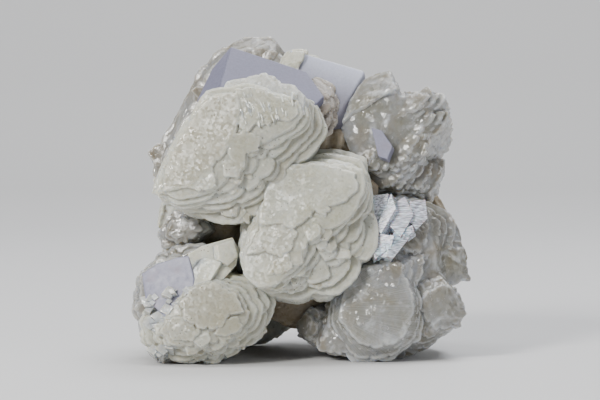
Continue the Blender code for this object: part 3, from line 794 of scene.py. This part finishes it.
def grown(name, specs, material, most, grain=1.0, cores=(), skin=SKIN_SIZE):
    """Crystals joined into one closed skin, roughened, with what their colour follows."""
    group = new_group()
    for corners in cores:
        add_core(group, corners)
    for spec in specs:
        Crystal(spec).grow(group)
    source = bpy.data.meshes.new(name + "_plates")
    group.to_mesh(source)
    tree = BVHTree.FromBMesh(group)
    tones = np.empty(len(source.vertices), np.float32)
    rims = np.empty(len(source.vertices), np.float32)
    for values, key in ((tones, "tone"), (rims, "rim")):
        source.attributes[key].data.foreach_get("value", values)
    firsts = [face.verts[0].index for face in group.faces]
    face_rims = [float(np.mean([rims[vert.index] for vert in face.verts])) for face in group.faces]
    group.free()
    mesh = skin_over(name, source, skin, most)
    drop_crumbs(mesh)

    points = vectors(mesh, "co")
    normals = vectors(mesh, "normal")
    tone = np.empty(len(points), np.float32)
    rim = np.empty(len(points), np.float32)
    for index, point in enumerate(points):
        _, _, face, _ = tree.find_nearest(point)
        tone[index] = tones[firsts[face]]
        rim[index] = face_rims[face]
    # hollow: how hollow the skin is; the materials paint shade into its hollows and a highlight onto its
    # ridges with it
    hollow = surroundings(mesh, points, normals) / MM
    rough = sum(depth * value_noise(points, size * MM, seed) for depth, size, seed in ROUGHNESS)
    points = points + normals * (grain * rough * MM)[:, None]
    points[:, 2] = np.maximum(points[:, 2], 0)
    mesh.vertices.foreach_set("co", points.astype(np.float32).ravel())
    for key, values in (("tone", tone), ("rim", rim), ("hollow", hollow)):
        layer = mesh.attributes.new(key, "FLOAT", "POINT")
        layer.data.foreach_set("value", values.astype(np.float32))
    mesh.update()
    smooth_with_creases(mesh)
    place_piece(name, mesh, material)


def splinters(name, spec, material):
    """Narrow chips on a crystal's face, which all lean nearly one way; they are bright by the painted light
    of their material.
    """
    crystal = Crystal(spec)
    out = crystal.facing.to_3x3().col[2]
    (left, right), (low, high) = SPLINTER_SPOTS
    group = new_group()
    for _ in range(SPLINTERS):
        spot = on_plane(crystal.facing, rng.uniform(left, right), rng.uniform(low, high))
        flat = (crystal.facing.inverted() @ spot).xy - Vector(crystal.small.middle)
        far = float(crystal.small.reach(math.atan2(flat.y, flat.x)))
        plane = crystal.facing.copy()
        plane.translation = spot + out * (crystal.rise(flat.length, far) + rng.uniform(*SPLINTER_STANDS))
        plane = (
            plane
            @ Matrix.Rotation(math.radians(SPLINTER_LEAN + rng.uniform(-10, 10)), 4, "Z")
            @ Matrix.Rotation(math.radians(rng.uniform(-6, 2)), 4, "Y")
            @ Matrix.Rotation(math.radians(rng.uniform(-20, 20)), 4, "X")
        )
        chip = cut_chip(rng.uniform(*SPLINTER_LENGTHS), rng.uniform(*SPLINTER_WIDTHS))
        add_plate(group, SCALE_SEGMENTS, plane, chip, SPLINTER_DEPTH, 0.04, 0.03, 0.0)
    mesh = mesh_from(name, group)
    smooth_with_creases(mesh)
    place_piece(name, mesh, material)


def block_piece(name, blocks, material, bevel):
    """Crystal blocks with flat faces and slightly rounded edges, as one piece."""
    whole = bmesh.new()
    for corners in blocks:
        block = bmesh.new()
        add_core(block, corners)
        bmesh.ops.dissolve_limit(block, angle_limit=math.radians(2), verts=block.verts, edges=block.edges)
        bmesh.ops.bevel(block, geom=block.edges, offset=bevel * MM, segments=2, profile=0.5,
                        affect="EDGES", material=-1)
        bmesh.ops.triangulate(block, faces=block.faces)
        pour(block, whole)
    mesh = mesh_from(name, whole)
    mesh.shade_flat()
    place_piece(name, mesh, material)


# Slabs of flat faces

def slab_corners(outline, middle, facing, thickness):
    """The corners of a slab: its outline carried to its sloping face, and the same behind."""
    plane = facing_frame(middle, facing)
    back = plane.to_3x3().col[2] * thickness
    found = []
    for x, z in outline:
        corner = on_plane(plane, x, z)
        found += [corner, corner - back]
    return found


def small_rhombs():
    """Crisp rhombs of all sizes that stand on the lower left crystal."""
    found = []
    for (left, right), (low, high), count in RHOMB_SPOTS:
        for _ in range(count):
            x = rng.uniform(left, right)
            z = rng.uniform(low, high)
            half = rng.uniform(*RHOMB_SIZE)
            lean = rng.uniform(-0.5, 0.5)
            outline = []
            for corner, reach in enumerate(RHOMB_REACHES):
                angle = lean + corner * math.pi / 2
                outline.append((x + half * reach * math.cos(angle), z + half * reach * math.sin(angle)))
            front = RHOMB_FRONT + RHOMB_CURVE * (x - RHOMB_CURVE_MIDDLE) ** 2 + rng.uniform(-0.6, 0.6)
            facing = (rng.uniform(-35, 10), rng.uniform(0, 35))
            found.append(slab_corners(outline, (x, front, z), facing, SLAB_THICKNESS))
    return found


def saw_teeth():
    """Small slanting rhombs along the saw edge."""
    start, end = (Vector(place) for place in SAW_EDGE)
    found = []
    for tooth in range(SAW_TEETH):
        place = start.lerp(end, (tooth + rng.uniform(0.2, 0.8)) / SAW_TEETH)
        tall = rng.uniform(1.2, 2.4)
        wide = rng.uniform(0.7, 1.2)
        tip = rng.uniform(-1.4, -0.4)
        outline = ((place.x + tip, place.z - tall * 0.6), (place.x + wide, place.z + 0.3),
                   (place.x + wide * 0.6, place.z + tall), (place.x - wide, place.z + tall * 0.7))
        facing = (rng.uniform(-25, 15), rng.uniform(8, 30))
        found.append(slab_corners(outline, place, facing, SAW_THICKNESS))
    return found


LOWER_LEFT_FACETS = (
    slab_corners(((-25.5, 25.2), (-22.4, 27), (-15.5, 28.8), (-14, 26), (-14.6, 22.6), (-17.5, 19.5),
                  (-22.5, 18), (-24.9, 20)), (-20, -23.6, 23), (10, 16), 9),
    slab_corners(((-25, 23.4), (-21.5, 24.4), (-17.8, 23.6), (-20.4, 19.4), (-24.6, 17.4)),
                 (-21.5, -25.4, 21), (-6, 26), 5),
    slab_corners(((-18.8, 27.4), (-15.3, 28.4), (-14.2, 24.6), (-16.4, 22.6), (-18.6, 24)),
                 (-16.5, -24.4, 25), (24, 10), 5),
)


# Materials

class Surface:
    """A Principled material and short calls for the nodes that feed it, with sizes in millimetres."""

    def __init__(self, name):
        self.material = bpy.data.materials.new(name)
        self.material.use_nodes = True
        self.tree = self.material.node_tree
        self.shader = self.tree.nodes["Principled BSDF"]
        self.place = self.node("ShaderNodeTexCoord", "Object")

    def feed(self, node, inputs):
        """Links or sets a node's inputs, by their place or by their name with underscores."""
        for key, value in inputs.items():
            socket = node.inputs[key if isinstance(key, int) else key.replace("_", " ")]
            if isinstance(value, bpy.types.NodeSocket):
                self.tree.links.new(value, socket)
            else:
                socket.default_value = (*value, 1) if socket.type == "RGBA" else value

    def set(self, **inputs):
        self.feed(self.shader, inputs)

    def node(self, kind, output, settings=None, **inputs):
        """A new node with its settings and inputs, read at one of its outputs."""
        made = self.tree.nodes.new(kind)
        for key, value in (settings or {}).items():
            setattr(made, key, value)
        self.feed(made, inputs)
        return made.outputs[output]

    def math(self, operation, *values, kind="ShaderNodeMath"):
        made = self.tree.nodes.new(kind)
        made.operation = operation
        self.feed(made, dict(enumerate(values)))
        return made.outputs[0]

    def value(self, name):
        return self.node("ShaderNodeAttribute", "Fac", {"attribute_name": name})

    def axis(self, name):
        return self.node("ShaderNodeSeparateXYZ", name, Vector=self.place)

    def noise(self, size, detail=3.0, stretch=(1, 1, 1), turn=(0, 0, 0), distortion=0.0):
        turned = [math.radians(angle) for angle in turn]
        place = self.node("ShaderNodeMapping", "Vector", Vector=self.place, Scale=stretch, Rotation=turned)
        return self.node("ShaderNodeTexNoise", "Fac", Vector=place, Scale=1 / (size * MM), Detail=detail,
                         Distortion=distortion)

    def cells(self, size, output="Color"):
        return self.node("ShaderNodeTexVoronoi", output, Vector=self.place, Scale=1 / (size * MM))

    def band(self, value, low, high, to_low=0.0, to_high=1.0):
        return self.node("ShaderNodeMapRange", "Result", Value=value, From_Min=low, From_Max=high,
                         To_Min=to_low, To_Max=to_high)

    def mix(self, share, first, second, blend="MIX"):
        settings = {"data_type": "RGBA", "blend_type": blend}
        return self.node("ShaderNodeMix", "Result", settings, Factor=share, A=first, B=second)

    def bump(self, height, depth):
        return self.node("ShaderNodeBump", "Normal", Strength=1.0, Distance=depth * MM, Height=height)

    def spokes(self, x, z, count):
        """Noise in narrow rays that spread from a place (x, z) of the front view."""
        across = self.math("SUBTRACT", self.axis("X"), x * MM)
        up = self.math("SUBTRACT", self.axis("Z"), z * MM)
        turn = self.math("MULTIPLY", self.math("ARCTAN2", up, across), count)
        one_way = {"noise_dimensions": "1D"}
        return self.node("ShaderNodeTexNoise", "Fac", one_way, W=turn, Scale=1.0, Detail=2.0)

    def tilted(self, facets, lean, normal):
        """The normal leaned a little at random in each cell, like tiny cleavage faces."""
        kind = "ShaderNodeVectorMath"
        centred = self.math("SUBTRACT", facets, (0.5, 0.5, 0.5), kind=kind)
        leaned = self.math("MULTIPLY", centred, (lean, lean, lean), kind=kind)
        return self.math("NORMALIZE", self.math("ADD", normal, leaned, kind=kind), kind=kind)


CALCITE_IOR = 1.55
BRIGHT_IOR = 1.66
STAIN = (0.26, 0.205, 0.115)
SPECK = (0.06, 0.05, 0.03)


def layered_calcite(name, body, rim, ledge, hollow_shade, cloud, roughness, glow, transmission=0.0, rarity=0.62,
                    veil=0.0, spokes=None, warm=0.0, facet=0.55, lean=0.2):
    """Translucent calcite whose colour follows its plates, rims and hollows.

    Its body is clouded and its ledges darker, by a random share for each plate; its hollows are
    darkened with painted shade, its ridges paled with a painted highlight, and its rims paled, partly
    for their milky colour and partly as painted light through the thin edges. A veil adds milky
    patches, warmth adds stains, spokes add fine rays, and each facet glints with a lean of its own.
    """
    surface = Surface(name)
    cloudy = surface.band(surface.noise(8, 3), 0.35, 0.68)
    tint = surface.mix(surface.math("MULTIPLY", cloudy, 0.6), body, cloud)
    toned = surface.mix(surface.band(surface.value("tone"), 0, 1, 0, 0.5), tint, ledge)
    if veil:
        milky = surface.band(surface.noise(5, 5, distortion=1.2), 0.54, 0.7, 0, veil)
        toned = surface.mix(milky, toned, rim)
    if warm:
        stained = surface.band(surface.noise(6, 3), 0.52, 0.68, 0, warm)
        toned = surface.mix(stained, toned, STAIN)
    if spokes is not None:
        lines = surface.band(surface.spokes(*spokes), 0.45, 0.65, 0, 0.25)
        toned = surface.mix(lines, toned, rim)
    # Rims paler: partly the milky colour of thin plate edges, partly painted light shining through them
    edged = surface.mix(surface.band(surface.value("rim"), 0.6, 1.0, 0, 0.55), toned, rim)
    # Painted shade: the hollows of the skin are darkened towards the dark hollow colour
    hollow = surface.band(surface.value("hollow"), 0.05, 0.3)
    ridge = surface.band(surface.value("hollow"), -0.04, -0.22)
    shaded_crevices = surface.mix(surface.math("MULTIPLY", hollow, 0.75), edged, hollow_shade)
    # Painted highlight: the ridges of the skin are paled towards the rim colour
    lit = surface.mix(surface.math("MULTIPLY", ridge, 0.55), shaded_crevices, rim)
    grain = surface.band(surface.noise(0.45, 3), 0.3, 0.7, 0.94, 1.04)
    grained = surface.mix(1.0, lit, grain, "MULTIPLY")
    speck = surface.math("LESS_THAN", surface.cells(1.0, "Distance"), 0.15)
    rare = surface.math("GREATER_THAN", surface.noise(8, 2), rarity)
    specks = surface.math("MULTIPLY", surface.math("MULTIPLY", speck, rare), 0.7)
    surface.set(Base_Color=surface.mix(specks, grained, SPECK))
    facets = surface.cells(facet)
    glint = surface.math("GREATER_THAN", surface.node("ShaderNodeSeparateColor", "Red", Color=facets), 0.86)
    rough = surface.band(surface.noise(2.2, 3), 0.3, 0.7, roughness - 0.08, roughness + 0.12)
    surface.set(Roughness=surface.math("SUBTRACT", rough, surface.math("MULTIPLY", glint, 0.3)))
    fine = surface.bump(surface.noise(0.5, 4), 0.07)
    surface.set(Normal=surface.tilted(facets, lean, fine))
    surface.set(Subsurface_Weight=0.85, Subsurface_Scale=glow * MM, Subsurface_Radius=(1.0, 0.85, 0.62))
    surface.set(IOR=CALCITE_IOR, Transmission_Weight=transmission)
    return surface.material


def satin_face(name, body, cloud, warm, upper, from_height, to_height, lean=0.0):
    """A smooth, faintly milky crystal face, with a painted tone towards its upper, leaning edge: painted
    highlight where that tone is paler, painted shade where it is darker.
    """
    surface = Surface(name)
    cloudy = surface.band(surface.noise(7, 5, distortion=0.8), 0.35, 0.7)
    tint = surface.mix(cloudy, body, cloud)
    patch = surface.math("MULTIPLY", surface.band(surface.noise(4, 5), 0.55, 0.68), 0.6)
    warmer = surface.mix(patch, tint, warm)
    # Painted light by height: the face turns to the upper colour towards its upper, leaning edge
    upward = surface.math("MULTIPLY", surface.axis("Z"), math.cos(math.radians(lean)))
    across = surface.math("MULTIPLY", surface.axis("X"), math.sin(math.radians(lean)))
    height = surface.band(surface.math("ADD", upward, across), from_height * MM, to_height * MM)
    lit = surface.mix(height, warmer, upper)
    grain = surface.band(surface.noise(0.5, 3), 0.3, 0.7, 0.92, 1.05)
    surface.set(Base_Color=surface.mix(1.0, lit, grain, "MULTIPLY"))
    surface.set(Roughness=surface.band(surface.noise(1.4, 5), 0.35, 0.65, 0.36, 0.48))
    surface.set(Normal=surface.bump(surface.noise(0.9, 6), 0.05))
    surface.set(Subsurface_Weight=0.7, Subsurface_Scale=1.5 * MM, Subsurface_Radius=(0.9, 0.85, 0.8))
    surface.set(Specular_IOR_Level=0.3, IOR=CALCITE_IOR)
    return surface.material


def cleavage(name):
    """Broken faces with fine parallel steps that catch the light; their pale bluish and dark grey stripes
    are painted reflection on the steps.
    """
    surface = Surface(name)
    lines = surface.noise(0.3, 2, stretch=(0.14, 1, 1), turn=(0, 12, 0))
    # Painted reflection: the colour runs in stripes from dark grey to pale bluish along the steps
    tint = surface.mix(surface.band(lines, 0.35, 0.65), (0.24, 0.25, 0.28), (0.72, 0.75, 0.84))
    surface.set(Base_Color=tint)
    surface.set(Roughness=surface.band(lines, 0.3, 0.7, 0.12, 0.34))
    surface.set(Normal=surface.bump(lines, 0.12))
    surface.set(Subsurface_Weight=0.4, Subsurface_Scale=1.5 * MM)
    surface.set(IOR=BRIGHT_IOR, Coat_Weight=0.8, Coat_Roughness=0.12)
    return surface.material


CREAM = layered_calcite(
    "cream_calcite", body=(0.41, 0.405, 0.325), rim=(0.60, 0.61, 0.565),
    ledge=(0.28, 0.25, 0.175), hollow_shade=(0.12, 0.085, 0.045),
    cloud=(0.48, 0.49, 0.455), roughness=0.32, glow=1.8, rarity=0.57, facet=0.6, lean=0.28,
)
# Painted light: a lit copy of the cream, paler throughout, for the splinters and for the facets that lie in
# the shade under the upper left crystal
PAINTED_LIGHT_CREAM = layered_calcite(
    "cream_calcite_painted_light", body=(0.62, 0.61, 0.50), rim=(0.80, 0.80, 0.74),
    ledge=(0.56, 0.53, 0.40), hollow_shade=(0.2, 0.17, 0.11),
    cloud=(0.72, 0.72, 0.66), roughness=0.26, glow=1.4, facet=0.7, lean=0.25,
)
WHITE = layered_calcite(
    "white_clear_calcite", body=(0.44, 0.445, 0.42), rim=(0.66, 0.67, 0.67),
    ledge=(0.40, 0.39, 0.33), hollow_shade=(0.2, 0.17, 0.11),
    cloud=(0.54, 0.55, 0.56), roughness=0.24, glow=1.6, facet=0.7, lean=0.35,
)
GREY = layered_calcite(
    "grey_clear_calcite", body=(0.27, 0.262, 0.215), rim=(0.68, 0.70, 0.72),
    ledge=(0.225, 0.195, 0.135), hollow_shade=(0.075, 0.055, 0.025),
    cloud=(0.42, 0.44, 0.49), roughness=0.17, glow=2.4, transmission=0.25, rarity=0.78, veil=0.75,
    warm=0.45, facet=0.9, lean=0.45,
)
CLEAR = layered_calcite(
    "clear_rim_calcite", body=(0.26, 0.245, 0.20), rim=(0.62, 0.63, 0.63),
    ledge=(0.235, 0.20, 0.145), hollow_shade=(0.085, 0.065, 0.03),
    cloud=(0.40, 0.41, 0.44), roughness=0.18, glow=2.2, transmission=0.3, rarity=0.78, veil=0.5,
    warm=0.3, facet=1.2, lean=0.2,
)
FAN = layered_calcite(
    "fan_calcite", body=(0.285, 0.28, 0.24), rim=(0.66, 0.68, 0.69),
    ledge=(0.23, 0.20, 0.145), hollow_shade=(0.075, 0.055, 0.025),
    cloud=(0.41, 0.425, 0.46), roughness=0.17, glow=2.4, transmission=0.25, rarity=0.78,
    veil=0.6, spokes=(4, 13, 80), warm=0.4, facet=0.8, lean=0.3,
)
SMOKY = layered_calcite(
    "smoky_calcite", body=(0.27, 0.23, 0.185), rim=(0.44, 0.42, 0.38),
    ledge=(0.235, 0.19, 0.145), hollow_shade=(0.12, 0.085, 0.05),
    cloud=(0.36, 0.345, 0.345), roughness=0.32, glow=1.6, transmission=0.15, rarity=0.74,
)
# Painted shade over a brownish tint: a darker brown for the crystals in the hollows deep inside the cluster
SHADED_BROWN = layered_calcite(
    "brown_inner_calcite_painted_shade", body=(0.25, 0.20, 0.125), rim=(0.40, 0.345, 0.26),
    ledge=(0.22, 0.17, 0.11), hollow_shade=(0.09, 0.065, 0.035),
    cloud=(0.34, 0.29, 0.225), roughness=0.42, glow=1.2,
)
# Painted shade: the lavender faces turn darker towards the top, from 42 mm to 60 mm up
LAVENDER = satin_face("lavender_face", (0.215, 0.215, 0.30), (0.30, 0.30, 0.38),
                      (0.27, 0.23, 0.28), (0.155, 0.155, 0.22), 42, 60)
# Painted highlight: this darker lavender face turns much paler towards its upper edge, from 59 mm to 67.5
# mm up along its lean
LAVENDER_PAINTED_HIGHLIGHT = satin_face("lavender_face_painted_highlight", (0.105, 0.10, 0.13), (0.18, 0.175, 0.215),
                           (0.15, 0.13, 0.125), (0.46, 0.48, 0.58), 59, 67.5, 19.4)
CLEAVAGE_PAINTED_GLEAM = cleavage("cleavage_painted_gleam")


# The pieces

grown("upper_left_plates", (UPPER_LEFT,), CREAM, 150000)
grown("upper_left_white_plates", (UPPER_LEFT_WHITE,), WHITE, 20000)
grown("upper_left_fan", (UPPER_LEFT_FAN,), CLEAR, 60000, grain=0.5)
grown("left_clear_rims", (LEFT_MIDDLE, LOWER_LEFT_RIM), CLEAR, 50000, grain=0.5)
grown("upper_right_plates", (UPPER_RIGHT_BLADE, *UPPER_RIGHT_BLADES), GREY, 140000, grain=0.6,
      cores=(BLADES_CORE,))
grown("upper_right_shells", (UPPER_RIGHT_SHELLS,), SMOKY, 20000, grain=0.4)
grown("upper_right_cap", (UPPER_RIGHT_CAP,), CREAM, 12000)
grown("centre_plates", (CENTRE,), CREAM, 130000)
grown("lower_left_plates", (LOWER_LEFT, LOWER_LEFT_FOOT), CREAM, 110000)
grown("lower_right_lobes",
      (RIGHT_LOBE_TOP, RIGHT_LOBE, RIGHT_MIDDLE, RIGHT_FOOT, MIDDLE_FOOT, LEFT_FOOT, BOTTOM_FOOT),
      GREY, 130000, grain=0.5, cores=(LOWER_RIGHT_CORE,))
grown("lower_fan_plates", (LOWER_FAN,), FAN, 40000, grain=0.4)
grown("inner_crystals", (UNDER_CENTRE, RIGHT_HOLLOW, SHADED_BROWN_HOLLOW), SHADED_BROWN, 30000,
      cores=(CENTRE_CORE, BACK_CORE), skin=0.5)
grown("back_plates", (BACK_LARGE, BACK_UPPER, BACK_LOWER, BACK_FOOT, CROWN, LEFT_SIDE, LEFT_SHOULDER,
                      RIGHT_SHOULDER, RIGHT_SIDE), CREAM, 75000, skin=0.4)
splinters("upper_left_splinters", UPPER_LEFT, PAINTED_LIGHT_CREAM)
block_piece("upper_left_block",
            [slab_corners(*face, BLOCK_THICKNESS) for face in (UPPER_LEFT_FACE, UPPER_LEFT_EDGE_FACE)],
            LAVENDER, 0.3)
block_piece("upper_right_block", (UPPER_RIGHT_CORE,), LAVENDER_PAINTED_HIGHLIGHT, 0.35)
block_piece("upper_left_body", (UPPER_LEFT_CORE,), CREAM, 0.35)
block_piece("lower_left_face", (slab_corners(*LOWER_LEFT_FACE, SLAB_THICKNESS),), LAVENDER, 0.3)
block_piece("lower_left_body", (LOWER_LEFT_CORE,), CREAM, 0.3)
block_piece("upper_right_facet", (slab_corners(*VIOLET_FACET, VIOLET_THICKNESS),), LAVENDER, 0.2)
block_piece("lower_left_facets", LOWER_LEFT_FACETS, PAINTED_LIGHT_CREAM, 0.15)
block_piece("lower_left_rhombs", small_rhombs(), WHITE, 0.06)
block_piece("bright_faces", [slab_corners(*slab, SLAB_THICKNESS) for slab in BRIGHT_SLABS] + saw_teeth(),
            CLEAVAGE_PAINTED_GLEAM, 0.08)


# Floor, light and camera, in metres

FLOOR_FRONT = 2.5
FLOOR_LENGTH = 3.1
FLOOR_WIDTH = 8.0
SWEEP_RADIUS = 0.5
SWEEP_LENGTH = 8.0


def look_at(obj, place, target):
    """Puts a light or camera in its place and turns it to its target."""
    obj.location = place
    obj.rotation_euler = (Vector(target) - Vector(place)).to_track_quat("-Z", "Y").to_euler()


def stage():
    """A pale floor that sweeps up into a backdrop behind the object."""
    bm = bmesh.new()
    bmesh.ops.create_grid(bm, x_segments=1, y_segments=48, size=1)
    for vert in bm.verts:
        along = (vert.co.y + 1) / 2 * SWEEP_LENGTH
        turn = min(max((along - FLOOR_LENGTH) / SWEEP_RADIUS, 0), math.pi / 2)
        rise = max(along - FLOOR_LENGTH - SWEEP_RADIUS * math.pi / 2, 0)
        vert.co.y = min(along, FLOOR_LENGTH) + SWEEP_RADIUS * math.sin(turn) - FLOOR_FRONT
        vert.co.z = SWEEP_RADIUS * (1 - math.cos(turn)) + rise
        vert.co.x *= FLOOR_WIDTH / 2
    bmesh.ops.recalc_face_normals(bm, faces=bm.faces)
    mesh = mesh_from("floor", bm)
    mesh.shade_smooth()
    floor = linked("floor", mesh)
    surface = Surface("pale_floor")
    pale = surface.mix(surface.noise(400, 2), (0.60, 0.60, 0.61), (0.64, 0.64, 0.64))
    surface.set(Base_Color=pale)
    surface.set(Roughness=0.6)
    mesh.materials.append(surface.material)


def softbox(name, place, size, power, tint, target=(0, 0, 0.037)):
    """A soft rectangular light that faces the object or its own target."""
    light = bpy.data.lights.new(name, "AREA")
    light.shape = "RECTANGLE"
    light.size, light.size_y = size
    light.energy = power
    light.color = tint
    lamp = linked(name, light)
    look_at(lamp, place, target)


stage()
softbox("top_back", (0.16, 0.24, 0.70), (0.35, 0.25), 3.2, (0.93, 0.95, 1.0))
softbox("left_key", (-0.42, -0.56, 0.42), (0.20, 0.20), 7.6, (1.0, 0.99, 0.96))
softbox("right_fill", (0.65, -0.45, 0.25), (0.3, 0.4), 1.1, (0.95, 0.97, 1.0))
softbox("backdrop_light", (0, -0.1, 1.3), (1.2, 0.5), 17.0, (1.0, 1.0, 1.0), target=(0, 1.0, 0.35))
world = bpy.data.worlds.new("studio")
bpy.context.scene.world = world
world.use_nodes = True
world.node_tree.nodes["Background"].inputs["Color"].default_value = (0.80, 0.81, 0.83, 1)
world.node_tree.nodes["Background"].inputs["Strength"].default_value = 0.2

ELEVATION = math.radians(3)
DISTANCE = 0.70
TARGET = Vector((0, 0, 0.0362))
camera_data = bpy.data.cameras.new("camera")
camera_data.lens = 179
camera_data.clip_start = 0.01
camera = linked("camera", camera_data)
place = TARGET + DISTANCE * Vector((0, -math.cos(ELEVATION), math.sin(ELEVATION)))
look_at(camera, place, TARGET)
bpy.context.scene.camera = camera
